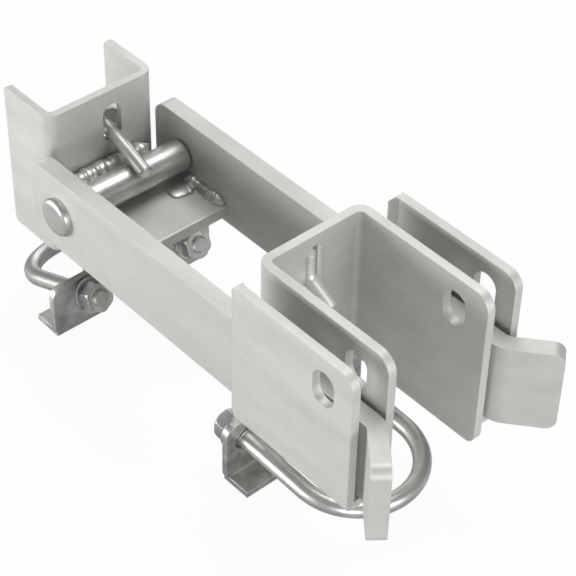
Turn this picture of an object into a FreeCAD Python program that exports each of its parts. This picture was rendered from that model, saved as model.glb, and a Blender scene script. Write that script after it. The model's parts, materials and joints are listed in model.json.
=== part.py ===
import FreeCAD, Part
import math
import os
import Sketcher

from FreeCAD import Placement, Rotation, Vector

doc = FreeCAD.newDocument("gravity_gate_latch")

# Frame: the origin is on the axis of the rear gate upright, level with the pivot of the arms.
# +X runs along the closed arms towards the catch, +Y is the far side, +Z is up. Sizes are in mm.
# Heights whose name ends in _low are depths below the pivot, so they are used with a minus sign.

SIZES = {
    # rear channel, folded round the rear upright
    "rear_half": 29.0,
    "rear_inner": 25.5,
    "rear_edge": 4.5,
    "rear_back": 24.2,
    "rear_front": 27.7,
    "rear_top": 37.5,
    "rear_slot_y": 5.0,
    "rear_slot_bottom": 16.0,
    "rear_slot_top": 25.0,
    "slot_radius": 5.0,
    "sheet_end": 70.0,
    "tongue_half": 14.0,
    "rear_tongue_low": 66.0,
    "lip_half": 21.5,
    "lip_top_low": 3.65,
    "lip_low": 6.7,
    "lip_front": 36.9,
    "rear_corner": 2.0,
    "bend_in": 2.5,
    "bend_out": 6.0,
    # hinge
    "pivot_x": 44.5,
    "sleeve_radius": 7.5,
    "sleeve_bore": 5.05,
    "sleeve_half": 29.2,
    "bead_x": 32.36,
    "bead_level": 1.0,
    "bead_radius": 4.64,
    "pin_radius": 5.0,
    "head_radius": 9.5,
    "head_height": 3.4,
    "head_rim": 0.3,
    # arms
    "arm_inner": 30.0,
    "arm_outer": 38.0,
    "arm_half": 20.0,
    "arm_rear": 26.0,
    "arm_corner": 7.0,
    "arm_bore": 5.02,
    "flag_start": 239.6,
    "flag_start_out": 236.8,
    "flag_tip": 259.4,
    "flag_tip_y": 46.4,
    "flag_tip_out": 254.3,
    "flag_tip_out_y": 52.6,
    "flag_bend_out": 12.0,
    "flag_bend_in": 4.0,
    "flag_corner": 5.0,
    "plate_rear": 41.0,
    "plate_front": 76.5,
    "plate_top_low": 10.5,
    "plate_low": 16.5,
    "plate_edge": 1.2,
    "weld_rear": 49.0,
    "weld_leg": 3.5,
    # catch
    "fork_back": 161.7,
    "fork_face": 165.7,
    "fork_front": 236.7,
    "fork_end": 280.0,
    "fork_half": 28.0,
    "fork_inner": 24.0,
    "fork_top": 46.5,
    "fork_low": 32.0,
    "fork_corner_top": 8.0,
    "fork_corner_low": 5.0,
    "fork_slot_bottom": 19.0,
    "fork_slot_top": 36.0,
    "side_outer": 44.6,
    "side_inner": 40.6,
    "fork_tongue_low": 72.0,
    "side_rear": 168.5,
    "side_front": 235.2,
    "side_bend": 170.6,
    "curl_rear": 163.6,
    "curl_rear_y": 41.4,
    "curl_tip": 166.4,
    "curl_tip_y": 38.7,
    "floor_rear": 172.0,
    "floor_top_low": 20.2,
    "floor_low": 24.2,
    "lock_x": 219.5,
    "lock_bottom": 28.2,
    "lock_top": 33.4,
    "lock_radius": 5.9,
    "side_cut_rear": 160.0,
    "side_cut_front": 171.5,
    "side_cut_top": 50.0,
    "side_cut_low": 36.0,
    "side_corner": 7.0,
    "curl_bend": 6.0,
    "fold_bend": 2.5,
    # clamps: one design, with a deeper and wider saddle at the rear
    "rear_level_low": 50.0,
    "front_level_low": 55.0,
    "rear_step": 14.3,
    "front_step": 4.7,
    "rear_ear_half": 45.0,
    "front_ear_half": 38.5,
    "saddle_sheet": 3.0,
    "saddle_flat": 14.0,
    "saddle_flat_in": 11.7,
    "saddle_shoulder": 20.0,
    "saddle_shoulder_in": 17.7,
    "saddle_top": 10.0,
    "rear_saddle_low": 17.0,
    "front_saddle_low": 21.0,
    "foot_depth": 15.0,
    "foot_inset": 1.0,
    "ear_corner": 5.0,
    "leg_half": 28.4,
    "ear_hole": 5.5,
    "rod_radius": 4.0,
    "leg_length": 52.0,
    "leg_chamfer": 0.8,
    "rear_reach": 35.0,
    "rear_slack": 7.4,
    "front_reach": 38.5,
    "front_slack": 3.0,
    "washer_radius": 8.4,
    "washer_bore": 4.3,
    "washer_thick": 1.6,
    "nut_corner": 7.5,
    "nut_thick": 6.5,
    "nut_bore": 4.02,
    "nut_rounding": 0.55,
    # loose bolt and loose hook pin
    "bolt_radius": 3.25,
    "bolt_head": 8.0,
    "bolt_head_height": 4.2,
    "bolt_rim": 0.4,
    "bolt_length": 35.4,
    "bolt_chamfer": 0.8,
    "bolt_behind": 5.6,
    "bolt_level": 14.75,
    "hook_radius": 3.0,
    "hook_bend": 6.0,
    "hook_leg": 12.5,
    "hook_top": 14.0,
    "hook_upright": 9.5,
    "hook_chamfer": 0.6,
    "hook_y": 1.95,
    "hook_level": 23.5,
}

# Sizes that follow from the ones above.
SIZES["weld_y"] = SIZES["arm_inner"] - SIZES["weld_leg"]
SIZES["weld_top_low"] = SIZES["plate_top_low"] - SIZES["weld_leg"]
SIZES["side_weld_y"] = SIZES["fork_half"] + SIZES["weld_leg"]
SIZES["side_weld_low"] = SIZES["floor_low"] + SIZES["weld_leg"]
for end in ("rear", "front"):
    SIZES[end + "_ear"] = SIZES[end + "_step"] + SIZES["saddle_sheet"]
    SIZES[end + "_foot_top_low"] = SIZES[end + "_saddle_low"] - SIZES["saddle_sheet"]
    SIZES[end + "_foot_half"] = SIZES[end + "_ear_half"] - SIZES["foot_inset"]
SIZES["rear_foot_back"] = SIZES["rear_ear"] - SIZES["foot_depth"]
SIZES["front_foot_back"] = SIZES["foot_depth"] - SIZES["front_ear"]

# How the loose parts hang, in degrees below level.
REAR_CLAMP_DROOP = 23.0
FRONT_CLAMP_DROOP = 2.0
REAR_BOLT_DROOP = 10.7
HOOK_DROOP = 28.0

# How far the loose bolt points to the near side, in degrees.
REAR_BOLT_TURN = 6.1

TOUCH = 0.01

X_AXIS = Vector(1, 0, 0)
Y_AXIS = Vector(0, 1, 0)
Z_AXIS = Vector(0, 0, 1)

sheet = doc.addObject("Spreadsheet::Sheet", "dims")
for row, (alias, value) in enumerate(SIZES.items(), start=1):
    sheet.set("A%d" % row, alias)
    sheet.set("B%d" % row, str(value))
    sheet.setAlias("B%d" % row, alias)
doc.recompute()

nodes = {}


# ---------------------------------------------------------------- helpers

def parse(word):
    """Value and formula of '+name', '-name' or '0'."""
    if word == "0":
        return 0.0, ""
    sign = -1.0 if word.startswith("-") else 1.0
    name = word.lstrip("+-")
    return sign * SIZES[name], "dims." + name


def other_side(corners):
    """The same outline with its second coordinate negated."""
    flip = {"+": "-", "-": "+"}
    return [(x, flip[y[0]] + y[1:]) for x, y in corners]


def both(x, y):
    """A spot and its mirror image."""
    return [(x, y), (x, -y)]


def new_body(name):
    body = doc.addObject("PartDesign::Body", name)
    body.Label = name
    body.AllowCompound = True
    nodes[name] = body
    return body


def new_sketch(body, plane, name):
    """Sketch on one of the body's own origin planes."""
    sketch = body.newObject("Sketcher::SketchObject", name)
    support = [f for f in body.Origin.OriginFeatures if f.Role == plane][0]
    sketch.AttachmentSupport = [(support, "")]
    sketch.MapMode = "FlatFace"
    return sketch


def hold_point(sketch, geometry, point, across, up):
    """Ties a sketch point to the origin by two named dimensions."""
    for kind, line, word in (("DistanceX", -2, across), ("DistanceY", -1, up)):
        value, formula = parse(word)
        if value == 0.0:
            sketch.addConstraint(Sketcher.Constraint("PointOnObject", geometry, point, line))
            continue
        ends = (-1, 1, geometry, point) if value > 0 else (geometry, point, -1, 1)
        index = sketch.addConstraint(Sketcher.Constraint(kind, *ends, abs(value)))
        sketch.setExpression("Constraints[%d]" % index, formula)


def hold_radius(sketch, geometry, word):
    value, formula = parse(word)
    index = sketch.addConstraint(Sketcher.Constraint("Radius", geometry, value))
    sketch.setExpression("Constraints[%d]" % index, formula)


def outline(sketch, corners):
    """Closed polygon whose corners are named dimensions."""
    spots = [Vector(parse(x)[0], parse(y)[0], 0) for x, y in corners]
    count = len(spots)
    first = sketch.GeometryCount
    for i in range(count):
        sketch.addGeometry(Part.LineSegment(spots[i], spots[(i + 1) % count]), False)
    for i in range(count):
        after = first + (i + 1) % count
        sketch.addConstraint(Sketcher.Constraint("Coincident", first + i, 2, after, 1))
    for i, (across, up) in enumerate(corners):
        hold_point(sketch, first + i, 1, across, up)


def rectangle(sketch, left, right, bottom, top):
    outline(sketch, [(left, bottom), (right, bottom), (right, top), (left, top)])


def circle(sketch, across, up, radius):
    spot = Vector(parse(across)[0], parse(up)[0], 0)
    index = sketch.addGeometry(Part.Circle(spot, Z_AXIS, parse(radius)[0]), False)
    hold_point(sketch, index, 3, across, up)
    hold_radius(sketch, index, radius)


def upright_slot(sketch, across, bottom, top, radius):
    """Slot with round ends, standing upright in its sketch."""
    x, low, high, r = (parse(word)[0] for word in (across, bottom, top, radius))
    cap = Part.Circle(Vector(x, high, 0), Z_AXIS, r)
    cup = Part.Circle(Vector(x, low, 0), Z_AXIS, r)
    over = sketch.addGeometry(Part.ArcOfCircle(cap, 0, math.pi), False)
    under = sketch.addGeometry(Part.ArcOfCircle(cup, math.pi, 2 * math.pi), False)
    left_line = Part.LineSegment(Vector(x - r, high, 0), Vector(x - r, low, 0))
    right_line = Part.LineSegment(Vector(x + r, low, 0), Vector(x + r, high, 0))
    left = sketch.addGeometry(left_line, False)
    right = sketch.addGeometry(right_line, False)
    sketch.addConstraint(Sketcher.Constraint("Tangent", over, 2, left, 1))
    sketch.addConstraint(Sketcher.Constraint("Tangent", left, 2, under, 1))
    sketch.addConstraint(Sketcher.Constraint("Tangent", under, 2, right, 1))
    sketch.addConstraint(Sketcher.Constraint("Coincident", right, 2, over, 1))
    hold_point(sketch, over, 3, across, top)
    hold_point(sketch, under, 3, across, bottom)
    hold_radius(sketch, over, radius)


def slide_sketch(sketch, distance, formula):
    """Moves a sketch off its plane along the plane's normal."""
    sketch.AttachmentOffset = Placement(Vector(0, 0, distance), Rotation())
    sketch.setExpression(".AttachmentOffset.Base.z", formula)


def pad(body, sketch, name, length, formula, centred=False):
    doc.recompute()
    feature = body.newObject("PartDesign::Pad", name)
    feature.Profile = sketch
    feature.Length = length
    feature.setExpression("Length", formula)
    if centred:
        feature.SideType = "Symmetric"
    body.Tip = feature
    doc.recompute()
    return feature


def pad_between(body, sketch, name, low, high):
    """Pad from one height to another along the sketch's normal."""
    bottom, bottom_formula = parse(low)
    top, top_formula = parse(high)
    if low.startswith("-"):
        bottom_formula = "-" + bottom_formula
    if high.startswith("-"):
        top_formula = "-" + top_formula
    slide_sketch(sketch, bottom, bottom_formula)
    return pad(body, sketch, name, top - bottom, "%s - (%s)" % (top_formula, bottom_formula))


def cut_through(body, sketch, name):
    """Pocket that runs both ways through the whole body."""
    doc.recompute()
    before = body.Shape.Volume
    feature = body.newObject("PartDesign::Pocket", name)
    feature.Profile = sketch
    feature.Type = "ThroughAll"
    feature.SideType = "Symmetric"
    body.Tip = feature
    doc.recompute()
    if body.Shape.Volume > before - 1.0:
        raise RuntimeError(name + " removes nothing")
    return feature


def straight_edges(shape, axis, spots, tolerance=0.25):
    """Names of edges along an axis that pass through given spots of the other two axes."""
    keep = [i for i in range(3) if abs(axis[i]) < 0.5]
    names = []
    for number, edge in enumerate(shape.Edges, start=1):
        if edge.Curve.TypeId != "Part::GeomLine":
            continue
        if abs(edge.tangentAt(edge.FirstParameter).dot(axis)) < 0.999:
            continue
        place = edge.Vertexes[0].Point
        for spot in spots:
            if max(abs(place[keep[0]] - spot[0]), abs(place[keep[1]] - spot[1])) < tolerance:
                names.append("Edge%d" % number)
                break
    return names


def round_edges(body, name, axis, spots, size, count=2):
    """Rounds `count` or more straight edges with the named radius."""
    base = body.Tip
    names = straight_edges(base.Shape, axis, spots)
    if len(names) < count:
        raise RuntimeError("%s found %d of %d edges" % (name, len(names), count))
    feature = body.newObject("PartDesign::Fillet", name)
    feature.Base = (base, names)
    feature.Radius = SIZES[size]
    feature.setExpression("Radius", "dims." + size)
    body.Tip = feature
    doc.recompute()
    if "Invalid" in feature.State:
        raise RuntimeError(name + " failed")
    return feature


def hung(hinge, droop, along, turn=0.0):
    """Places a part so that it hangs from a hinge spot, drooping towards its free end.

    The part's own X axis lies along it, and `along` is where the hinge spot falls on that axis.
    turn is the angle about the upright axis that the part points away from +X.
    """
    swing = Placement(Vector(), Rotation(Z_AXIS, turn) * Rotation(Y_AXIS, droop))
    back = Placement(Vector(-along, 0, 0), Rotation())
    return Placement(hinge, Rotation()) * swing * back


# ---------------------------------------------------------------- rear channel

rear = new_body("rear_channel")
plan = new_sketch(rear, "XY_Plane", "rear_plan")
rectangle(plan, "-rear_edge", "+rear_front", "-rear_half", "+rear_half")
pad(rear, plan, "rear_block", 2 * SIZES["rear_top"], "2 * dims.rear_top", centred=True)

hollow = new_sketch(rear, "XY_Plane", "rear_hollow_plan")
rectangle(hollow, "-sheet_end", "+rear_back", "-rear_inner", "+rear_inner")
cut_through(rear, hollow, "rear_hollow")
round_edges(rear, "rear_bends_in", Z_AXIS, both(SIZES["rear_back"], SIZES["rear_inner"]), "bend_in")
round_edges(rear, "rear_bends_out", Z_AXIS, both(SIZES["rear_front"], SIZES["rear_half"]), "bend_out")
rear_corners = both(-SIZES["rear_edge"], SIZES["rear_top"])
round_edges(rear, "rear_corners", Y_AXIS, rear_corners, "rear_corner", count=4)

tongue = new_sketch(rear, "YZ_Plane", "rear_tongue_plan")
rectangle(tongue, "-tongue_half", "+tongue_half", "-rear_tongue_low", "0")
pad_between(rear, tongue, "rear_tongue", "+rear_back", "+rear_front")

lip = new_sketch(rear, "XZ_Plane", "rear_lip_side")
rectangle(lip, "+rear_back", "+lip_front", "-lip_low", "-lip_top_low")
pad(rear, lip, "rear_lip", 2 * SIZES["lip_half"], "2 * dims.lip_half", centred=True)

slot = new_sketch(rear, "YZ_Plane", "rear_slot_shape")
upright_slot(slot, "+rear_slot_y", "+rear_slot_bottom", "+rear_slot_top", "+slot_radius")
cut_through(rear, slot, "rear_slot")

# ---------------------------------------------------------------- hinge

sleeve = new_body("hinge_sleeve")
ring = new_sketch(sleeve, "XZ_Plane", "sleeve_ring")
circle(ring, "+pivot_x", "0", "+sleeve_radius")
circle(ring, "+pivot_x", "0", "+sleeve_bore")
pad(sleeve, ring, "sleeve_tube", 2 * SIZES["sleeve_half"], "2 * dims.sleeve_half", centred=True)

bead = new_body("hinge_weld")
bead_ring = new_sketch(bead, "XZ_Plane", "bead_round")
circle(bead_ring, "+bead_x", "+bead_level", "+bead_radius")
pad(bead, bead_ring, "bead_run", 2 * SIZES["lip_half"], "2 * dims.lip_half", centred=True)

pin = new_body("pivot_pin")
shaft = new_sketch(pin, "XZ_Plane", "pin_round")
circle(shaft, "+pivot_x", "0", "+pin_radius")
pad(pin, shaft, "pin_shaft", 2 * SIZES["arm_outer"], "2 * dims.arm_outer", centred=True)
for side in (1, -1):
    word = "near" if side > 0 else "far"
    head = new_sketch(pin, "XZ_Plane", "pin_head_%s" % word)
    circle(head, "+pivot_x", "0", "+head_radius")
    sign = "" if side > 0 else "-"
    slide_sketch(head, side * SIZES["arm_outer"], sign + "dims.arm_outer")
    dome = pad(pin, head, "pin_dome_%s" % word, SIZES["head_height"], "dims.head_height")
    dome.Reversed = side < 0
    doc.recompute()
    rims = []
    reach = SIZES["arm_outer"] + SIZES["head_height"]
    for number, edge in enumerate(dome.Shape.Edges, start=1):
        if abs(edge.BoundBox.YMin + side * reach) < TOUCH and edge.BoundBox.YLength < TOUCH:
            rims.append("Edge%d" % number)
    crown = pin.newObject("PartDesign::Fillet", "pin_crown_%s" % word)
    crown.Base = (dome, rims)
    crown.Radius = SIZES["head_height"] - SIZES["head_rim"]
    pin.Tip = crown
    doc.recompute()

# ---------------------------------------------------------------- arms

ARM_PLAN = [
    ("+arm_rear", "+arm_inner"),
    ("+flag_start", "+arm_inner"),
    ("+flag_tip", "+flag_tip_y"),
    ("+flag_tip_out", "+flag_tip_out_y"),
    ("+flag_start_out", "+arm_outer"),
    ("+arm_rear", "+arm_outer"),
]


def make_arm(name, corners, side):
    arm = new_body(name)
    top_view = new_sketch(arm, "XY_Plane", name + "_plan")
    outline(top_view, corners)
    pad(arm, top_view, name + "_bar", 2 * SIZES["arm_half"], "2 * dims.arm_half", centred=True)
    bend_out = [(SIZES["flag_start"], side * SIZES["arm_inner"])]
    bend_in = [(SIZES["flag_start_out"], side * SIZES["arm_outer"])]
    round_edges(arm, name + "_bend_out", Z_AXIS, bend_out, "flag_bend_out", count=1)
    round_edges(arm, name + "_bend_in", Z_AXIS, bend_in, "flag_bend_in", count=1)
    ends = both(SIZES["arm_rear"], SIZES["arm_half"])
    round_edges(arm, name + "_rear_end", Y_AXIS, ends, "arm_corner")
    middle = Vector(
        (SIZES["flag_tip"] + SIZES["flag_tip_out"]) / 2,
        side * (SIZES["flag_tip_y"] + SIZES["flag_tip_out_y"]) / 2,
        0,
    )
    corner_names = []
    for number, edge in enumerate(arm.Tip.Shape.Edges, start=1):
        centre = (edge.Vertexes[0].Point + edge.Vertexes[-1].Point) * 0.5
        flat = Vector(centre.x, centre.y, 0)
        level = abs(abs(centre.z) - SIZES["arm_half"]) < TOUCH
        if level and (flat - middle).Length < 0.1 and edge.Length > 7.0:
            corner_names.append("Edge%d" % number)
    if len(corner_names) != 2:
        raise RuntimeError(name + " handle corners not found")
    bar = arm.Tip
    tip = arm.newObject("PartDesign::Fillet", name + "_tip")
    tip.Base = (bar, corner_names)
    tip.Radius = SIZES["flag_corner"]
    arm.Tip = tip
    doc.recompute()
    hole = new_sketch(arm, "XZ_Plane", name + "_pin_hole")
    circle(hole, "+pivot_x", "0", "+arm_bore")
    cut_through(arm, hole, name + "_bore")
    return arm


make_arm("far_arm", ARM_PLAN, 1)
make_arm("near_arm", other_side(ARM_PLAN), -1)

cross = new_body("cross_plate")
side_view = new_sketch(cross, "XZ_Plane", "cross_side")
rectangle(side_view, "+plate_rear", "+plate_front", "-plate_low", "-plate_top_low")
pad(cross, side_view, "cross_slab", 2 * SIZES["arm_inner"], "2 * dims.arm_inner", centred=True)
front_edges = [
    (SIZES["plate_front"], -SIZES["plate_top_low"]),
    (SIZES["plate_front"], -SIZES["plate_low"]),
]
round_edges(cross, "cross_front", Y_AXIS, front_edges, "plate_edge")

CROSS_WELD = [
    ("+arm_inner", "-plate_top_low"),
    ("+arm_inner", "-weld_top_low"),
    ("+weld_y", "-plate_top_low"),
]
cross_welds = new_body("cross_plate_welds")
cross_ends = new_sketch(cross_welds, "YZ_Plane", "cross_weld_ends")
outline(cross_ends, CROSS_WELD)
outline(cross_ends, [("-" + y[1:], z) for y, z in CROSS_WELD])
pad_between(cross_welds, cross_ends, "cross_weld_runs", "+weld_rear", "+plate_front")

# ---------------------------------------------------------------- fork of the catch

fork = new_body("fork_channel")
fork_plan = new_sketch(fork, "XY_Plane", "fork_plan")
rectangle(fork_plan, "+fork_back", "+fork_front", "-fork_half", "+fork_half")
pad_between(fork, fork_plan, "fork_block", "-fork_low", "+fork_top")
fork_hollow = new_sketch(fork, "XY_Plane", "fork_hollow_plan")
rectangle(fork_hollow, "+fork_face", "+fork_end", "-fork_inner", "+fork_inner")
cut_through(fork, fork_hollow, "fork_hollow")
round_edges(fork, "fork_bends_in", Z_AXIS, both(SIZES["fork_face"], SIZES["fork_inner"]), "bend_in")
round_edges(fork, "fork_bends_out", Z_AXIS, both(SIZES["fork_back"], SIZES["fork_half"]), "bend_out")
top_corner = [(SIZES["fork_front"], SIZES["fork_top"])]
low_corner = [(SIZES["fork_front"], -SIZES["fork_low"])]
round_edges(fork, "fork_corners_top", Y_AXIS, top_corner, "fork_corner_top")
round_edges(fork, "fork_corners_low", Y_AXIS, low_corner, "fork_corner_low")
fork_tongue = new_sketch(fork, "YZ_Plane", "fork_tongue_plan")
rectangle(fork_tongue, "-tongue_half", "+tongue_half", "-fork_tongue_low", "0")
pad_between(fork, fork_tongue, "fork_tongue", "+fork_back", "+fork_face")
fork_slot = new_sketch(fork, "YZ_Plane", "fork_slot_shape")
upright_slot(fork_slot, "0", "+fork_slot_bottom", "+fork_slot_top", "+slot_radius")
cut_through(fork, fork_slot, "fork_slot")
lock_holes = new_sketch(fork, "XZ_Plane", "fork_lock_shape")
upright_slot(lock_holes, "+lock_x", "+lock_bottom", "+lock_top", "+lock_radius")
cut_through(fork, lock_holes, "fork_lock_holes")

WALL_PLAN = [
    ("+side_front", "+side_outer"),
    ("+side_rear", "+side_outer"),
    ("+curl_rear", "+curl_rear_y"),
    ("+curl_tip", "+curl_tip_y"),
    ("+side_bend", "+side_inner"),
    ("+side_front", "+side_inner"),
]
FLOOR_PLAN = [
    ("+floor_rear", "+fork_half"),
    ("+side_front", "+fork_half"),
    ("+side_front", "+side_outer"),
    ("+floor_rear", "+side_outer"),
]


def make_side_plate(name, side):
    plate = new_body(name)
    wall = new_sketch(plate, "XY_Plane", name + "_wall_plan")
    outline(wall, WALL_PLAN if side > 0 else other_side(WALL_PLAN))
    pad_between(plate, wall, name + "_wall", "-floor_low", "+fork_top")
    curl = [(SIZES["side_rear"], side * SIZES["side_outer"])]
    round_edges(plate, name + "_curl", Z_AXIS, curl, "curl_bend", count=1)
    floor = new_sketch(plate, "XY_Plane", name + "_floor_plan")
    outline(floor, FLOOR_PLAN if side > 0 else other_side(FLOOR_PLAN))
    pad_between(plate, floor, name + "_floor", "-floor_low", "-floor_top_low")
    fold = [(side * SIZES["side_outer"], -SIZES["floor_low"])]
    round_edges(plate, name + "_fold", X_AXIS, fold, "fold_bend", count=1)
    top = [(SIZES["side_front"], SIZES["fork_top"])]
    round_edges(plate, name + "_corner", Y_AXIS, top, "side_corner", count=1)
    corner = new_sketch(plate, "XZ_Plane", name + "_rear_corner")
    outline(corner, [
        ("+side_cut_rear", "+side_cut_top"),
        ("+side_cut_rear", "+side_cut_low"),
        ("+side_cut_front", "+side_cut_top"),
    ])
    cut_through(plate, corner, name + "_rear_cut")
    hole = new_sketch(plate, "XZ_Plane", name + "_lock_shape")
    upright_slot(hole, "+lock_x", "+lock_bottom", "+lock_top", "+lock_radius")
    cut_through(plate, hole, name + "_lock_hole")
    return plate


make_side_plate("far_side_plate", 1)
make_side_plate("near_side_plate", -1)

SIDE_WELD = [
    ("+fork_half", "-floor_low"),
    ("+side_weld_y", "-floor_low"),
    ("+fork_half", "-side_weld_low"),
]
side_welds = new_body("side_plate_welds")
side_ends = new_sketch(side_welds, "YZ_Plane", "side_weld_ends")
outline(side_ends, SIDE_WELD)
outline(side_ends, [("-" + y[1:], z) for y, z in SIDE_WELD])
pad_between(side_welds, side_ends, "side_weld_runs", "+floor_rear", "+lock_x")

# ---------------------------------------------------------------- clamps


def make_saddle(end, foot_back, place):
    """Pressed saddle: a flat middle, two ears stepped towards the nuts, and a foot under each ear.

    Its own X axis points from the upright to the nuts, and its heights are counted from the legs.
    foot_back names how far back towards the upright the feet reach.
    """
    name = end + "_saddle"
    step, half, low = end + "_step", end + "_ear_half", end + "_saddle_low"
    saddle = new_body(name)
    half_plan = [
        ("0", "+saddle_flat"),
        ("+" + step, "+saddle_shoulder"),
        ("+" + step, "+" + half),
        ("+%s_ear" % end, "+" + half),
        ("+%s_ear" % end, "+saddle_shoulder_in"),
        ("+saddle_sheet", "+saddle_flat_in"),
    ]
    plan_view = new_sketch(saddle, "XY_Plane", name + "_plan")
    outline(plan_view, half_plan + other_side(half_plan)[::-1])
    pad_between(saddle, plan_view, name + "_sheet", "-" + low, "+saddle_top")
    ears = [(y, z) for y in (SIZES[half], -SIZES[half]) for z in (SIZES["saddle_top"], -SIZES[low])]
    round_edges(saddle, name + "_ears", X_AXIS, ears, "ear_corner", count=4)
    feet = new_sketch(saddle, "XY_Plane", name + "_feet_plan")
    foot = [
        (foot_back, "+saddle_shoulder"),
        ("+%s_ear" % end, "+saddle_shoulder"),
        ("+%s_ear" % end, "+%s_foot_half" % end),
        (foot_back, "+%s_foot_half" % end),
    ]
    outline(feet, foot)
    outline(feet, other_side(foot))
    pad_between(saddle, feet, name + "_feet", "-" + low, "-%s_foot_top_low" % end)
    holes = new_sketch(saddle, "YZ_Plane", name + "_hole_rings")
    circle(holes, "+leg_half", "0", "+ear_hole")
    circle(holes, "-leg_half", "0", "+ear_hole")
    cut_through(saddle, holes, name + "_holes")
    saddle.Placement = place
    return saddle


def make_u_bolt(name, place):
    """U-bolt with the centre of its bend at the origin and its legs along +X."""
    bolt = new_body(name)
    path = new_sketch(bolt, "XY_Plane", name + "_path")
    half, length = SIZES["leg_half"], SIZES["leg_length"]
    lower = Part.LineSegment(Vector(length, -half, 0), Vector(0, -half, 0))
    upper = Part.LineSegment(Vector(0, half, 0), Vector(length, half, 0))
    bend = Part.ArcOfCircle(Part.Circle(Vector(0, 0, 0), Z_AXIS, half), math.pi / 2, 1.5 * math.pi)
    first = path.addGeometry(lower, False)
    middle = path.addGeometry(bend, False)
    last = path.addGeometry(upper, False)
    path.addConstraint(Sketcher.Constraint("Tangent", first, 2, middle, 2))
    path.addConstraint(Sketcher.Constraint("Tangent", middle, 1, last, 1))
    hold_radius(path, middle, "+leg_half")
    path.addConstraint(Sketcher.Constraint("Coincident", middle, 3, -1, 1))
    hold_point(path, first, 1, "+leg_length", "-leg_half")
    hold_point(path, last, 2, "+leg_length", "+leg_half")
    rod = new_sketch(bolt, "YZ_Plane", name + "_rod")
    circle(rod, "-leg_half", "0", "+rod_radius")
    slide_sketch(rod, length, "dims.leg_length")
    doc.recompute()
    pipe = bolt.newObject("PartDesign::AdditivePipe", name + "_pipe")
    pipe.Profile = rod
    pipe.Spine = path
    bolt.Tip = pipe
    doc.recompute()
    ends = []
    for number, edge in enumerate(pipe.Shape.Edges, start=1):
        if edge.BoundBox.XMin > length - TOUCH:
            ends.append("Edge%d" % number)
    chamfer = bolt.newObject("PartDesign::Chamfer", name + "_ends")
    chamfer.Base = (pipe, ends)
    chamfer.Size = SIZES["leg_chamfer"]
    bolt.Tip = chamfer
    doc.recompute()
    bolt.Placement = place
    return bolt


def make_washers(name, place, start):
    """Two washers on the legs, starting at a distance along them."""
    washers = new_body(name)
    rings = new_sketch(washers, "YZ_Plane", name + "_rings")
    for leg in ("+leg_half", "-leg_half"):
        circle(rings, leg, "0", "+washer_radius")
        circle(rings, leg, "0", "+washer_bore")
    rings.AttachmentOffset = Placement(Vector(0, 0, start), Rotation())
    pad(washers, rings, name + "_discs", SIZES["washer_thick"], "dims.washer_thick")
    washers.Placement = place
    return washers


def make_nuts(name, place, start):
    """Two hexagon nuts on the legs, with their corners rounded off."""
    nuts = []
    thick = SIZES["nut_thick"]
    ball_radius = math.hypot(thick / 2, SIZES["nut_corner"] - SIZES["nut_rounding"])
    for word, side in (("far", 1), ("near", -1)):
        prism = doc.addObject("Part::Prism", "%s_%s_hexagon" % (name, word))
        prism.Polygon = 6
        prism.setExpression("Circumradius", "dims.nut_corner")
        prism.setExpression("Height", "dims.nut_thick")
        prism.Placement = Placement(Vector(start, side * SIZES["leg_half"], 0),
                                    Rotation(Y_AXIS, 90))
        ball = doc.addObject("Part::Sphere", "%s_%s_rounding" % (name, word))
        ball.Radius = ball_radius
        ball.Placement = Placement(Vector(start + thick / 2, side * SIZES["leg_half"], 0),
                                   Rotation())
        rounded = doc.addObject("Part::Common", "%s_%s_rounded" % (name, word))
        rounded.Base = prism
        rounded.Tool = ball
        thread = doc.addObject("Part::Cylinder", "%s_%s_thread" % (name, word))
        thread.setExpression("Radius", "dims.nut_bore")
        thread.setExpression("Height", "dims.nut_thick + 2 * dims.washer_thick")
        thread.Placement = Placement(
            Vector(start - SIZES["washer_thick"], side * SIZES["leg_half"], 0),
            Rotation(Y_AXIS, 90),
        )
        nut = doc.addObject("Part::Cut", "%s_%s" % (name, word))
        nut.Base = rounded
        nut.Tool = thread
        nuts.append(nut)
    group = doc.addObject("Part::Compound", name)
    group.Label = name
    group.Links = nuts
    group.Placement = place
    doc.recompute()
    nodes[name] = group
    return group


def make_clamp(end, foot_back, web, droop):
    """Saddle, U-bolt, washers and nuts of one clamp.

    web is the outer face of the channel's web. The bend of the U-bolt stands its end's reach from
    the ears, and its end's slack is left between ears and washers.
    """
    at_front = end == "front"
    towards_nuts = -1 if at_front else 1
    level = -SIZES[end + "_level_low"]
    ear_middle = SIZES[end + "_step"] + SIZES["saddle_sheet"] / 2
    turn = 180.0 if at_front else 0.0
    make_saddle(end, foot_back, Placement(Vector(web, 0, level), Rotation(Z_AXIS, turn)))
    hinge = Vector(web + towards_nuts * ear_middle, 0, level)
    place = hung(hinge, -droop, SIZES[end + "_reach"], turn)
    washer_start = SIZES[end + "_reach"] + SIZES[end + "_slack"]
    make_u_bolt(end + "_u_bolt", place)
    make_washers(end + "_washers", place, washer_start)
    make_nuts(end + "_nuts", place, washer_start + SIZES["washer_thick"])


make_clamp("rear", "+rear_foot_back", SIZES["rear_front"], REAR_CLAMP_DROOP)
make_clamp("front", "-front_foot_back", SIZES["fork_back"], FRONT_CLAMP_DROOP)

# ---------------------------------------------------------------- loose bolt and hook pin


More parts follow.
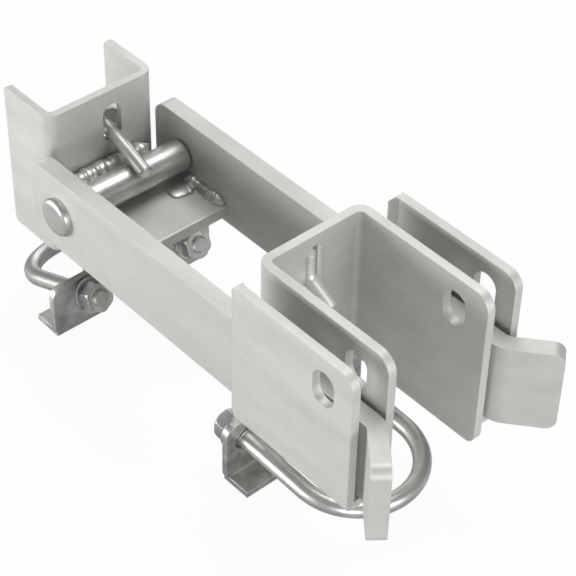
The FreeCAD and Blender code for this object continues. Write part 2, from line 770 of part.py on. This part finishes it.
def make_fixing_bolt(name, place):
    """Round-headed bolt; the underside of its head is at the origin and its shank along +X."""
    bolt = new_body(name)
    shank = new_sketch(bolt, "YZ_Plane", name + "_shank_round")
    circle(shank, "0", "0", "+bolt_radius")
    pad(bolt, shank, name + "_shank", SIZES["bolt_length"], "dims.bolt_length")
    head = new_sketch(bolt, "YZ_Plane", name + "_head_round")
    circle(head, "0", "0", "+bolt_head")
    height = SIZES["bolt_head_height"]
    dome = pad(bolt, head, name + "_head", height, "dims.bolt_head_height")
    dome.Reversed = True
    doc.recompute()
    rims = []
    for number, edge in enumerate(dome.Shape.Edges, start=1):
        box = edge.BoundBox
        if box.XLength < TOUCH and abs(box.XMin + height) < TOUCH:
            rims.append("Edge%d" % number)
    crown = bolt.newObject("PartDesign::Fillet", name + "_crown")
    crown.Base = (dome, rims)
    crown.Radius = height - SIZES["bolt_rim"]
    bolt.Tip = crown
    doc.recompute()
    tips = []
    for number, edge in enumerate(crown.Shape.Edges, start=1):
        if edge.BoundBox.XMin > SIZES["bolt_length"] - TOUCH:
            tips.append("Edge%d" % number)
    end = bolt.newObject("PartDesign::Chamfer", name + "_end")
    end.Base = (crown, tips)
    end.Size = SIZES["bolt_chamfer"]
    bolt.Tip = end
    doc.recompute()
    bolt.Placement = place
    return bolt


def make_hook_pin(name, place):
    """Bent rod: an upright leg that stands in the slot and a leg that hangs out in front of it."""
    pin = new_body(name)
    bend, leg, upright = SIZES["hook_bend"], SIZES["hook_leg"], SIZES["hook_upright"]
    droop = math.radians(HOOK_DROOP)
    turn = math.pi / 2 - droop
    centre = Vector(bend, SIZES["hook_top"] - upright, 0)
    top = Vector(0, SIZES["hook_top"], 0)
    corner = Vector(0, centre.y, 0)
    leave = centre + Vector(-math.cos(turn), -math.sin(turn), 0) * bend
    end = leave + Vector(math.cos(droop), -math.sin(droop), 0) * leg
    path = new_sketch(pin, "XZ_Plane", name + "_path")
    first = path.addGeometry(Part.LineSegment(top, corner), False)
    round_part = Part.ArcOfCircle(Part.Circle(centre, Z_AXIS, bend), math.pi, math.pi + turn)
    middle = path.addGeometry(round_part, False)
    last = path.addGeometry(Part.LineSegment(leave, end), False)
    path.addConstraint(Sketcher.Constraint("Tangent", first, 2, middle, 1))
    path.addConstraint(Sketcher.Constraint("Tangent", middle, 2, last, 1))
    hold_radius(path, middle, "+hook_bend")
    hold_point(path, first, 1, "0", "+hook_top")
    path.addConstraint(Sketcher.Constraint("Vertical", first))
    for line, word in ((first, "hook_upright"), (last, "hook_leg")):
        index = path.addConstraint(Sketcher.Constraint("Distance", line, SIZES[word]))
        path.setExpression("Constraints[%d]" % index, "dims." + word)
    path.addConstraint(Sketcher.Constraint("Angle", last, -droop))
    rod = new_sketch(pin, "XY_Plane", name + "_rod")
    circle(rod, "0", "0", "+hook_radius")
    slide_sketch(rod, SIZES["hook_top"], "dims.hook_top")
    doc.recompute()
    pipe = pin.newObject("PartDesign::AdditivePipe", name + "_pipe")
    pipe.Profile = rod
    pipe.Spine = path
    pin.Tip = pipe
    doc.recompute()
    girth = 2 * math.pi * SIZES["hook_radius"]
    rims = []
    for number, edge in enumerate(pipe.Shape.Edges, start=1):
        if edge.Curve.TypeId == "Part::GeomCircle" and abs(edge.Length - girth) < TOUCH:
            spot = edge.Curve.Center
            if abs(spot.z - SIZES["hook_top"]) < TOUCH or abs(spot.x - end.x) < TOUCH:
                rims.append("Edge%d" % number)
    if len(rims) != 2:
        raise RuntimeError(name + " ends not found")
    chamfer = pin.newObject("PartDesign::Chamfer", name + "_ends")
    chamfer.Base = (pipe, rims)
    chamfer.Size = SIZES["hook_chamfer"]
    pin.Tip = chamfer
    doc.recompute()
    pin.Placement = place
    return pin


web_middle = (SIZES["rear_back"] + SIZES["rear_front"]) / 2
bolt_spot = Vector(web_middle, SIZES["rear_slot_y"], SIZES["bolt_level"])
bolt_place = hung(bolt_spot, REAR_BOLT_DROOP, SIZES["bolt_behind"], -REAR_BOLT_TURN)
make_fixing_bolt("rear_fixing_bolt", bolt_place)

fork_web_middle = (SIZES["fork_back"] + SIZES["fork_face"]) / 2
hook_spot = Vector(fork_web_middle, -SIZES["hook_y"], SIZES["hook_level"])
make_hook_pin("front_hook_pin", Placement(hook_spot, Rotation()))

# ---------------------------------------------------------------- checks and export

doc.recompute()
for item in doc.Objects:
    if "Invalid" in item.State or "Error" in item.State:
        raise RuntimeError("%s: %s" % (item.Name, item.State))
os.makedirs("parts", exist_ok=True)
for name, item in nodes.items():
    shape = item.Shape
    if shape.isNull() or not shape.isValid() or shape.Volume < 1.0:
        raise RuntimeError("bad shape: " + name)
    shape.exportStep("parts/%s.step" % name)
    box = shape.BoundBox
    print("%-20s solids %d  volume %9.1f  x %.1f..%.1f  y %.1f..%.1f  z %.1f..%.1f" % (
        name, len(shape.Solids), shape.Volume,
        box.XMin, box.XMax, box.YMin, box.YMax, box.ZMin, box.ZMax,
    ))
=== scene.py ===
import json
import math

import bpy
from mathutils import Matrix, Vector, noise


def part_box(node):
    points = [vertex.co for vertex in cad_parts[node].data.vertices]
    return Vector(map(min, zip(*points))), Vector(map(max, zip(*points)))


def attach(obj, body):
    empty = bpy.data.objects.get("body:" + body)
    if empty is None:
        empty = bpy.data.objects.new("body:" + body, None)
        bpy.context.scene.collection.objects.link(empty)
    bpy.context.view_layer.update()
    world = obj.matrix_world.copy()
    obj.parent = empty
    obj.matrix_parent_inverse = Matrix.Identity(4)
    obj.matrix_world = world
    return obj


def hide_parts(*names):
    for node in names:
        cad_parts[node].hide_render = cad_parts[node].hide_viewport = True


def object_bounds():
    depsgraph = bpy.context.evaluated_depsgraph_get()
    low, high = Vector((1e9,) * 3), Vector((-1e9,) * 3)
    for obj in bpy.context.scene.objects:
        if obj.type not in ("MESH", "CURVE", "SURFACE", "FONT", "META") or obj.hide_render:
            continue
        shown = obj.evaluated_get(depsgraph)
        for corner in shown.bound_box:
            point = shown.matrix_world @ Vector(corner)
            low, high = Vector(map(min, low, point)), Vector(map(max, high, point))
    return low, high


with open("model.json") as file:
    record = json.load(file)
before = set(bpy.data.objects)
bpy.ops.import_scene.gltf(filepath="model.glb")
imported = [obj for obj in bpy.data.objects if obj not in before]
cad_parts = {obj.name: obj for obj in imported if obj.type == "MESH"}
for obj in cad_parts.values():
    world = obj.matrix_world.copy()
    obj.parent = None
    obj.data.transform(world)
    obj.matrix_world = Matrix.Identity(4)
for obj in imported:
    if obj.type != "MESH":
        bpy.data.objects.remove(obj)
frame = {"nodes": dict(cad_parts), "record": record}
cad_low, cad_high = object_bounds()
nodes = frame["nodes"]

MM = 0.001
UP = Vector((0, 0, 1.0))


# ---------------------------------------------------------------- materials

# Scales are in noise periods per metre. A pair is the low and the high end of a stretch.
ZINC_TINT = (1.0, 0.996, 0.97)
NOISE_MIDDLE = (0.3, 0.7)           # where most of a noise's values are
PATCH_EDGE = (0.36, 0.64)           # values of the cloud noise over which dark turns bright
STREAK_SCALE = 60.0
STREAK_STRETCH = (0.25, 1.0, 1.6)
STREAK_GREYS = (0.94, 1.04)
GRAIN_SCALE = 900.0
GRAIN_SHARE = 0.35                  # of the relief; the streaks are the rest
WEAR_REACH = 0.9 * MM               # how far in from an edge the wear goes
WEAR_COSINES = (0.8, 0.995)         # between the face and its bevel: worn, and not worn
WEAR_SCALE = 220.0                  # of the noise that breaks the worn edges up
WEAR_BREAK = (0.35, 0.6)            # its values that are ramped to the shares of wear below
WEAR_SHARES = (0.15, 0.75)
WEAR_GAIN = 1.12                    # of a worn edge over the bright grey
SMOOTHER, ROUGHER = 0.05, 0.06      # change of roughness in bright and in dark patches
EDGE_ROUNDING = 0.5 * MM
RELIEF_DEPTH = 0.4 * MM
BEVEL_SAMPLES = 4


class Nodes:
    """Small helper to add and join shader nodes."""

    def __init__(self, material):
        material.use_nodes = True
        self.tree = material.node_tree
        self.tree.nodes.clear()

    def add(self, kind, **settings):
        node = self.tree.nodes.new(kind)
        for name, value in settings.items():
            setattr(node, name, value)
        return node

    def join(self, source, target):
        self.tree.links.new(source, target)

    def noise(self, place, scale, detail, roughness, stretch=None):
        """Noise texture; stretch scales the place along each axis first."""
        texture = self.add("ShaderNodeTexNoise")
        texture.inputs["Scale"].default_value = scale
        texture.inputs["Detail"].default_value = detail
        texture.inputs["Roughness"].default_value = roughness
        if stretch:
            mapping = self.add("ShaderNodeMapping")
            mapping.inputs["Scale"].default_value = stretch
            self.join(place, mapping.inputs["Vector"])
            place = mapping.outputs["Vector"]
        self.join(place, texture.inputs["Vector"])
        return texture.outputs["Fac"]

    def ramp(self, value, low, high, low_grey, high_grey):
        """Maps a stretch of a value onto a stretch of greys, clamped."""
        node = self.add("ShaderNodeMapRange")
        node.inputs["From Min"].default_value = low
        node.inputs["From Max"].default_value = high
        node.inputs["To Min"].default_value = low_grey
        node.inputs["To Max"].default_value = high_grey
        self.join(value, node.inputs["Value"])
        return node.outputs["Result"]

    def mix(self, kind, factor, first, second):
        """Colour mix; factor, first and second are sockets or values."""
        node = self.add("ShaderNodeMix", data_type="RGBA", blend_type=kind)
        # Sockets 0, 6 and 7 are the ones that a colour mix uses, and its result is output 2.
        for socket, value in ((node.inputs[0], factor), (node.inputs[6], first),
                              (node.inputs[7], second)):
            if isinstance(value, bpy.types.NodeSocket):
                self.join(value, socket)
            else:
                socket.default_value = value
        return node.outputs[2]

    def rounded_normal(self, radius):
        """Normal as if the edges were rounded to a radius."""
        node = self.add("ShaderNodeBevel", samples=BEVEL_SAMPLES)
        node.inputs["Radius"].default_value = radius
        return node.outputs["Normal"]


def grey(level, tint=(1.0, 1.0, 1.0)):
    return (level * tint[0], level * tint[1], level * tint[2], 1.0)


def zinc(name, bright, dark, roughness, mottle, metallic=0.6, bump=0.08):
    """Zinc-plated steel: cloudy patches, faint rolling lines, fine grain and worn bright edges."""
    material = bpy.data.materials.new(name)
    net = Nodes(material)
    place = net.add("ShaderNodeTexCoord").outputs["Object"]
    clouds = net.noise(place, mottle, detail=5.0, roughness=0.6)
    streaks = net.noise(place, STREAK_SCALE, detail=3.0, roughness=0.5, stretch=STREAK_STRETCH)
    grain = net.noise(place, GRAIN_SCALE, detail=2.0, roughness=0.6)
    breaks = net.noise(place, WEAR_SCALE, detail=3.0, roughness=0.55)
    patches = net.ramp(clouds, *PATCH_EDGE, 0.0, 1.0)
    base = net.mix("MIX", patches, grey(dark, ZINC_TINT), grey(bright, ZINC_TINT))
    base = net.mix("MULTIPLY", 1.0, base, net.ramp(streaks, *NOISE_MIDDLE, *STREAK_GREYS))

    across = net.add("ShaderNodeVectorMath", operation="DOT_PRODUCT")
    net.join(net.rounded_normal(WEAR_REACH), across.inputs[0])
    net.join(net.add("ShaderNodeNewGeometry").outputs["Normal"], across.inputs[1])
    worn = net.ramp(across.outputs["Value"], *WEAR_COSINES, 1.0, 0.0)
    broken = net.ramp(breaks, *WEAR_BREAK, *WEAR_SHARES)
    rub = net.add("ShaderNodeMath", operation="MULTIPLY")
    net.join(worn, rub.inputs[0])
    net.join(broken, rub.inputs[1])
    base = net.mix("MIX", rub.outputs["Value"], base, grey(min(1.0, bright * WEAR_GAIN)))

    shader = net.add("ShaderNodeBsdfPrincipled")
    shader.inputs["Metallic"].default_value = metallic
    net.join(base, shader.inputs["Base Color"])
    dull = net.ramp(clouds, *NOISE_MIDDLE, roughness + ROUGHER, roughness - SMOOTHER)
    net.join(dull, shader.inputs["Roughness"])

    relief = net.add("ShaderNodeMath", operation="MULTIPLY_ADD")
    relief.inputs[1].default_value = GRAIN_SHARE
    net.join(grain, relief.inputs[0])
    net.join(streaks, relief.inputs[2])
    surface = net.add("ShaderNodeBump")
    surface.inputs["Strength"].default_value = bump
    surface.inputs["Distance"].default_value = RELIEF_DEPTH
    net.join(relief.outputs["Value"], surface.inputs["Height"])
    net.join(net.rounded_normal(EDGE_ROUNDING), surface.inputs["Normal"])
    net.join(surface.outputs["Normal"], shader.inputs["Normal"])
    out = net.add("ShaderNodeOutputMaterial")
    net.join(shader.outputs["BSDF"], out.inputs["Surface"])
    return material


# Finish of each material slot, and of the two nodes that look unlike their slot: its bright and
# dark greys, its roughness and the scale of its patches. The two nodes' finishes are lighter
# copies of a slot finish, painted light for the light that falls on them.
FINISHES = {
    "galvanised_plate": zinc("zinc_plate", 0.72, 0.64, 0.55, 22.0),
    "galvanised_arm": zinc("zinc_bar", 0.68, 0.62, 0.55, 22.0),
    "zinc_rod": zinc("zinc_rod", 0.70, 0.48, 0.38, 60.0, metallic=0.85, bump=0.12),
    "zinc_fastener": zinc("zinc_fastener", 0.70, 0.26, 0.42, 75.0, metallic=0.85, bump=0.2),
    "weld_metal": zinc("zinc_weld", 0.74, 0.50, 0.42, 140.0, metallic=0.85, bump=0.3),
}
PAINTED_LIGHT_FINISHES = {
    # Rear saddle: lighter greys than its slot's finish, painted light that stands in for the light
    # it catches.
    "rear_saddle": zinc("zinc_saddle_painted_lighter", 0.78, 0.38, 0.46, 65.0, metallic=0.7, bump=0.2),
    # Front hook pin: lighter greys than the rod finish, a painted highlight for the light that the
    # pin catches.
    "front_hook_pin": zinc("zinc_pin_painted_lighter", 0.90, 0.78, 0.42, 60.0, bump=0.12),
}
for entry in frame["record"]["subparts"]:
    finish = PAINTED_LIGHT_FINISHES.get(entry["node"], FINISHES[entry["material_slot"]])
    piece = nodes[entry["node"]]
    piece.data.materials.clear()
    piece.data.materials.append(finish)


# ---------------------------------------------------------------- weld beads

# Each run of weld: half width, half height and length of one pool of metal.
ARM_RUN = (3.4 * MM, 3.2 * MM, 5.5 * MM)
SPREAD_RUN = (5.2 * MM, 1.7 * MM, 9.0 * MM)
HINGE_RUN = (4.7 * MM, 4.9 * MM, 7.0 * MM)
SIDE_RUN = (2.9 * MM, 2.5 * MM, 3.6 * MM)

# How the middle line of each run lies against the box of its CAD node.
ARM_RUN_INSET = 0.8 * MM            # in from the arm's face
ARM_RUN_LEAN = 0.8                  # part of the bulge that points away from the arm
ARM_RUN_LIFT = 0.4 * MM             # above the bottom of the box
ARM_RUN_REAR = 1.0 * MM             # past the rear end of the box
ARM_RUN_FRONT = 1.5 * MM            # short of its front end
SIDE_RUN_OFFSET = 0.7 * MM          # below the top of the box, and out from the fork's flange
# The spread run's own ends, in X and Y, and its height over the cross plate.
SPREAD_RUN_START = (54.0 * MM, 15.0 * MM)
SPREAD_RUN_END = (55.5 * MM, 28.5 * MM)
SPREAD_RUN_LIFT = 0.3 * MM

BEAD_AROUND = 20
BEAD_STEP = 0.35 * MM
BEAD_LEAST_RINGS = 12
BEAD_END = 1.2                      # length of a rounded end, in half widths
BEAD_RIPPLE = 0.16                  # how much each pool tapers
BEAD_LAG = 0.35                     # how far the sides of a pool trail behind
# Unevenness of a run, each with its noise scale: off its line, in size and in fine lumps.
WANDER, WANDER_SCALE = 0.18, 260.0
SWELL, SWELL_SCALE = 0.22, 120.0
LUMP, LUMP_SCALE = 0.07, 700.0


def add_mesh(name, corners, faces, material, body):
    mesh = bpy.data.meshes.new(name)
    mesh.from_pydata([tuple(c) for c in corners], [], faces)
    mesh.validate()
    mesh.shade_smooth()
    mesh.materials.append(material)
    piece = bpy.data.objects.new(name, mesh)
    bpy.context.scene.collection.objects.link(piece)
    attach(piece, body)
    return piece


def bead(name, body, start, end, size, up, seed):
    """Run of weld: overlapping pools of metal, each a little different, rounded at both ends.

    size is one of the runs above, and up is the way that the bead bulges.
    """
    width, height, pool = size
    along = (end - start).normalized()
    up = up.normalized()
    side = along.cross(up)
    length = (end - start).length
    rings = max(BEAD_LEAST_RINGS, int(length / BEAD_STEP))
    corners, faces = [], []
    for i in range(rings + 1):
        s = length * i / rings
        phase = (s / pool) % 1.0
        ripple = 1.0 - BEAD_RIPPLE * phase ** 2
        wander = noise.noise(Vector((s * WANDER_SCALE, seed, 0.0)))
        swell = 1.0 + SWELL * noise.noise(Vector((s * SWELL_SCALE, seed, 5.0)))
        to_end = min(s, length - s)
        into_end = min(1.0, to_end / (width * BEAD_END))
        cap = math.sqrt(max(0.0, 1.0 - (1.0 - into_end) ** 2))
        centre = start + along * s + side * (wander * WANDER * width)
        for j in range(BEAD_AROUND):
            angle = 2 * math.pi * j / BEAD_AROUND
            across, bulge = math.cos(angle), math.sin(angle)
            lag = BEAD_LAG * width * across ** 2
            radial = side * (across * width) + up * (bulge * height)
            lump = 1.0 + LUMP * noise.noise(Vector((s * LUMP_SCALE, across, bulge + seed)))
            corners.append(centre + radial * (ripple * swell * cap * lump)
                           - along * (lag * cap / 2))
    for i in range(rings):
        for j in range(BEAD_AROUND):
            a, b = i * BEAD_AROUND + j, i * BEAD_AROUND + (j + 1) % BEAD_AROUND
            faces.append((a, b, b + BEAD_AROUND, a + BEAD_AROUND))
    faces.append(tuple(range(BEAD_AROUND))[::-1])
    faces.append(tuple(rings * BEAD_AROUND + j for j in range(BEAD_AROUND)))
    return add_mesh(name, corners, faces, FINISHES["weld_metal"], body)


def join_pieces(name, pieces):
    """One object from several, still riding on the same body."""
    bpy.ops.object.select_all(action="DESELECT")
    for piece in pieces:
        piece.select_set(True)
    bpy.context.view_layer.objects.active = pieces[0]
    bpy.ops.object.join()
    pieces[0].name = name
    return pieces[0]


# Two runs where the cross plate meets the arms, and one spread over the plate.
low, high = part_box("cross_plate_welds")
run_level = low.z + ARM_RUN_LIFT
runs = []
for number, side in enumerate((1, -1)):
    y = side * (high.y - ARM_RUN_INSET)
    runs.append(bead("run%d" % number, "arm_frame",
                     Vector((low.x - ARM_RUN_REAR, y, run_level)),
                     Vector((high.x - ARM_RUN_FRONT, y, run_level)),
                     ARM_RUN, Vector((0, -side * ARM_RUN_LEAN, 1.0)), seed=3.0 + number))
spread_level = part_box("cross_plate")[1].z + SPREAD_RUN_LIFT
runs.append(bead("run2", "arm_frame", Vector((*SPREAD_RUN_START, spread_level)),
                 Vector((*SPREAD_RUN_END, spread_level)), SPREAD_RUN, UP, seed=21.0))
cross_welds = join_pieces("cross_plate_weld_runs", runs)
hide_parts("cross_plate_welds")

# One run between the sleeve and the channel.
low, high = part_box("hinge_weld")
hinge_x, hinge_z = (low.x + high.x) / 2, (low.z + high.z) / 2
hinge_run = bead("hinge_weld_run", "rear_bracket", Vector((hinge_x, low.y, hinge_z)),
                 Vector((hinge_x, high.y, hinge_z)), HINGE_RUN, UP, seed=9.0)
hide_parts("hinge_weld")

# A run under the floor of each side plate, against the fork.
low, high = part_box("side_plate_welds")
fork_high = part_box("fork_channel")[1]
run_level = high.z - SIDE_RUN_OFFSET
runs = []
for number, side in enumerate((1, -1)):
    y = side * (fork_high.y + SIDE_RUN_OFFSET)
    runs.append(bead("run%d" % number, "catch", Vector((low.x, y, run_level)),
                     Vector((high.x, y, run_level)), SIDE_RUN, Vector((0, side, -1.0)),
                     seed=14.0 + number))
side_welds = join_pieces("side_plate_weld_runs", runs)
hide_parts("side_plate_welds")


# ---------------------------------------------------------------- screw threads

ROD_RADIUS = 4.0 * MM
THREAD_PITCH = 1.25 * MM
THREAD_HEIGHT = 0.22 * MM
THREAD_LENGTH = 15.0 * MM
THREAD_START = 1.3 * MM             # from the tip
THREAD_SUNK = 0.05 * MM             # foot of the ridge below the rod's face
THREAD_STEPS = 28                   # round one turn
THREAD_FOOT = 0.42                  # half widths of the ridge's foot and crest, in pitches
THREAD_CREST = 0.08
TIP_DEPTH = 0.05 * MM               # points this close to the furthest one are the tip's

# How far each clamp's rods rise towards their tips, at rest.
REAR_CLAMP_DROOP = math.radians(23.0)
FRONT_CLAMP_DROOP = math.radians(2.0)


def thread(name, body, tip, back):
    """Helical ridge on a rod, from its tip towards back."""
    back = back.normalized()
    side = back.orthogonal().normalized()
    other = back.cross(side)
    steps = int(THREAD_LENGTH / THREAD_PITCH * THREAD_STEPS)
    foot = ROD_RADIUS - THREAD_SUNK
    corners, faces = [], []
    for i in range(steps + 1):
        angle = 2 * math.pi * i / THREAD_STEPS
        fade = min(1.0, i / THREAD_STEPS, (steps - i) / THREAD_STEPS)
        centre = tip + back * (THREAD_START + THREAD_PITCH * i / THREAD_STEPS)
        out = side * math.cos(angle) + other * math.sin(angle)
        crest = ROD_RADIUS + THREAD_HEIGHT * fade
        for shift, radius in ((-THREAD_FOOT, foot), (-THREAD_CREST, crest),
                              (THREAD_CREST, crest), (THREAD_FOOT, foot)):
            corners.append(centre + back * (shift * THREAD_PITCH) + out * radius)
    for i in range(steps):
        for j in range(3):
            a = i * 4 + j
            faces.append((a, a + 1, a + 5, a + 4))
        faces.append((i * 4 + 3, i * 4, i * 4 + 4, i * 4 + 7))
    faces.append((3, 2, 1, 0))
    faces.append(tuple(steps * 4 + j for j in range(4)))
    piece = add_mesh(name, corners, faces, FINISHES["zinc_rod"], body)


def tip_of(node, side, towards):
    """Middle of a rod's flat end: the node's furthest points in a direction, on one side."""
    points = [v.co for v in nodes[node].data.vertices if v.co.y * side >= 0]
    reach = max(p.dot(towards) for p in points)
    last = [p for p in points if p.dot(towards) > reach - TIP_DEPTH]
    return sum(last, Vector()) / len(last)


def way_along(droop, heading):
    """Direction of a rod that rises towards heading (+1 or -1 along X) by an angle."""
    return Vector((heading * math.cos(droop), 0, math.sin(droop)))


for node, body, way in (("rear_u_bolt", "rear_clamp", way_along(REAR_CLAMP_DROOP, 1)),
                        ("front_u_bolt", "front_clamp", way_along(FRONT_CLAMP_DROOP, -1))):
    for word, side in (("near", -1), ("far", 1)):
        thread("%s_thread_%s" % (node, word), body, tip_of(node, side, way), -way)


# ---------------------------------------------------------------- stage

ROOM_HALF = 12.0
FLOOR_SPOTS = [(-ROOM_HALF, -ROOM_HALF, 0), (ROOM_HALF, -ROOM_HALF, 0),
               (ROOM_HALF, ROOM_HALF, 0), (-ROOM_HALF, ROOM_HALF, 0)]
WALL_TOPS = [(x, y, ROOM_HALF) for x, y, _ in FLOOR_SPOTS]
FLOOR_FACE = [(0, 1, 2, 3)]
WALL_FACES = [(i, (i + 1) % 4, 4 + (i + 1) % 4, 4 + i) for i in range(4)]

FLOOR_DROP = 0.2 * MM
FLOOR_LEVEL = 0.9
FLOOR_GLOW = 0.94
BOUNCE_DROP = 0.6 * MM
BOUNCE_LEVEL = 0.55
WORLD_LEVEL = 0.20


def add_floor(name, drop, shader, seen):
    """Sheet under the object: one with walls that only the camera sees, or one that only the
    light meets."""
    spots = FLOOR_SPOTS + WALL_TOPS if seen else FLOOR_SPOTS
    faces = FLOOR_FACE + WALL_FACES if seen else FLOOR_FACE
    mesh = bpy.data.meshes.new(name)
    mesh.from_pydata(spots, [], faces)
    mesh.materials.append(shader)
    sheet = bpy.data.objects.new(name, mesh)
    sheet.location.z = cad_low.z - drop
    sheet.visible_camera = seen
    for ray in ("diffuse", "glossy", "transmission", "shadow", "volume_scatter"):
        setattr(sheet, "visible_" + ray, not seen)
    bpy.context.scene.collection.objects.link(sheet)


def paper(name, level, glow):
    """Matt paper of a grey level; glow is the share of it that shines white."""
    material = bpy.data.materials.new(name)
    net = Nodes(material)
    matt = net.add("ShaderNodeBsdfDiffuse")
    matt.inputs["Color"].default_value = grey(level)
    light = net.add("ShaderNodeEmission")
    light.inputs["Color"].default_value = grey(1.0)
    light.inputs["Strength"].default_value = 1.0
    blend = net.add("ShaderNodeMixShader")
    blend.inputs["Fac"].default_value = glow
    net.join(matt.outputs["BSDF"], blend.inputs[1])
    net.join(light.outputs["Emission"], blend.inputs[2])
    out = net.add("ShaderNodeOutputMaterial")
    net.join(blend.outputs["Shader"], out.inputs["Surface"])
    return material


add_floor("floor", FLOOR_DROP, paper("white_paper", FLOOR_LEVEL, FLOOR_GLOW), True)
add_floor("bounce_floor", BOUNCE_DROP, paper("bounce_paper", BOUNCE_LEVEL, 0.0), False)

world = bpy.data.worlds.new("studio")
bpy.context.scene.world = world
world.use_nodes = True
sky = world.node_tree.nodes["Background"]
sky.inputs["Color"].default_value = grey(1.0)
sky.inputs["Strength"].default_value = WORLD_LEVEL


# ---------------------------------------------------------------- light

MIDDLE = (cad_low + cad_high) / 2

# Each light: name, place from the object's middle, width, height and power in watts.
LIGHTS = (
    ("key", (-0.7, -1.05, 0.08), 1.1, 0.5, 15.6),
    ("top", (-0.1, 0.3, 1.2), 0.7, 0.7, 8.0),
    ("fill", (1.2, 0.1, 0.3), 0.6, 0.5, 6.5),
    ("side", (0.9, -0.85, 0.04), 0.5, 0.3, 5.0),
    ("back", (-0.9, 0.9, 0.4), 0.8, 0.8, 4.0),
)


def soft_light(name, place, width, height, power):
    """Area light that faces the object's middle."""
    data = bpy.data.lights.new(name, "AREA")
    data.shape = "RECTANGLE"
    data.size = width
    data.size_y = height
    data.energy = power
    lamp = bpy.data.objects.new(name, data)
    spot = MIDDLE + Vector(place)
    lamp.location = spot
    lamp.rotation_mode = "QUATERNION"
    lamp.rotation_quaternion = (MIDDLE - spot).to_track_quat("-Z", "Y")
    bpy.context.scene.collection.objects.link(lamp)


for light in LIGHTS:
    soft_light(*light)


# ---------------------------------------------------------------- camera of the main view

CAMERA_SPOT = Vector((0.5787, -0.392, 0.524))
CAMERA_AZIMUTH = math.radians(47.54)
CAMERA_ELEVATION = math.radians(41.61)
CAMERA_ROLL = math.radians(-1.42)
CAMERA_REACH = (0.05, 60.0)
LENS = 119.0
SENSOR = 36.0


def aim_camera():
    """Camera from its spot and its three angles."""
    a, e, r = CAMERA_AZIMUTH, CAMERA_ELEVATION, CAMERA_ROLL
    right = Vector((math.cos(a), math.sin(a), 0))
    back = Vector((math.sin(a) * math.cos(e), -math.cos(a) * math.cos(e), math.sin(e)))
    up = back.cross(right)
    turned_right = right * math.cos(r) - up * math.sin(r)
    turned_up = right * math.sin(r) + up * math.cos(r)
    data = bpy.data.cameras.new("camera")
    data.lens = LENS
    data.sensor_width = SENSOR
    data.clip_start, data.clip_end = CAMERA_REACH
    camera = bpy.data.objects.new("camera", data)
    camera.matrix_world = Matrix((turned_right, turned_up, back)).transposed().to_4x4()
    camera.location = CAMERA_SPOT
    bpy.context.scene.collection.objects.link(camera)
    bpy.context.scene.camera = camera


aim_camera()
bpy.context.scene.view_settings.view_transform = "Standard"
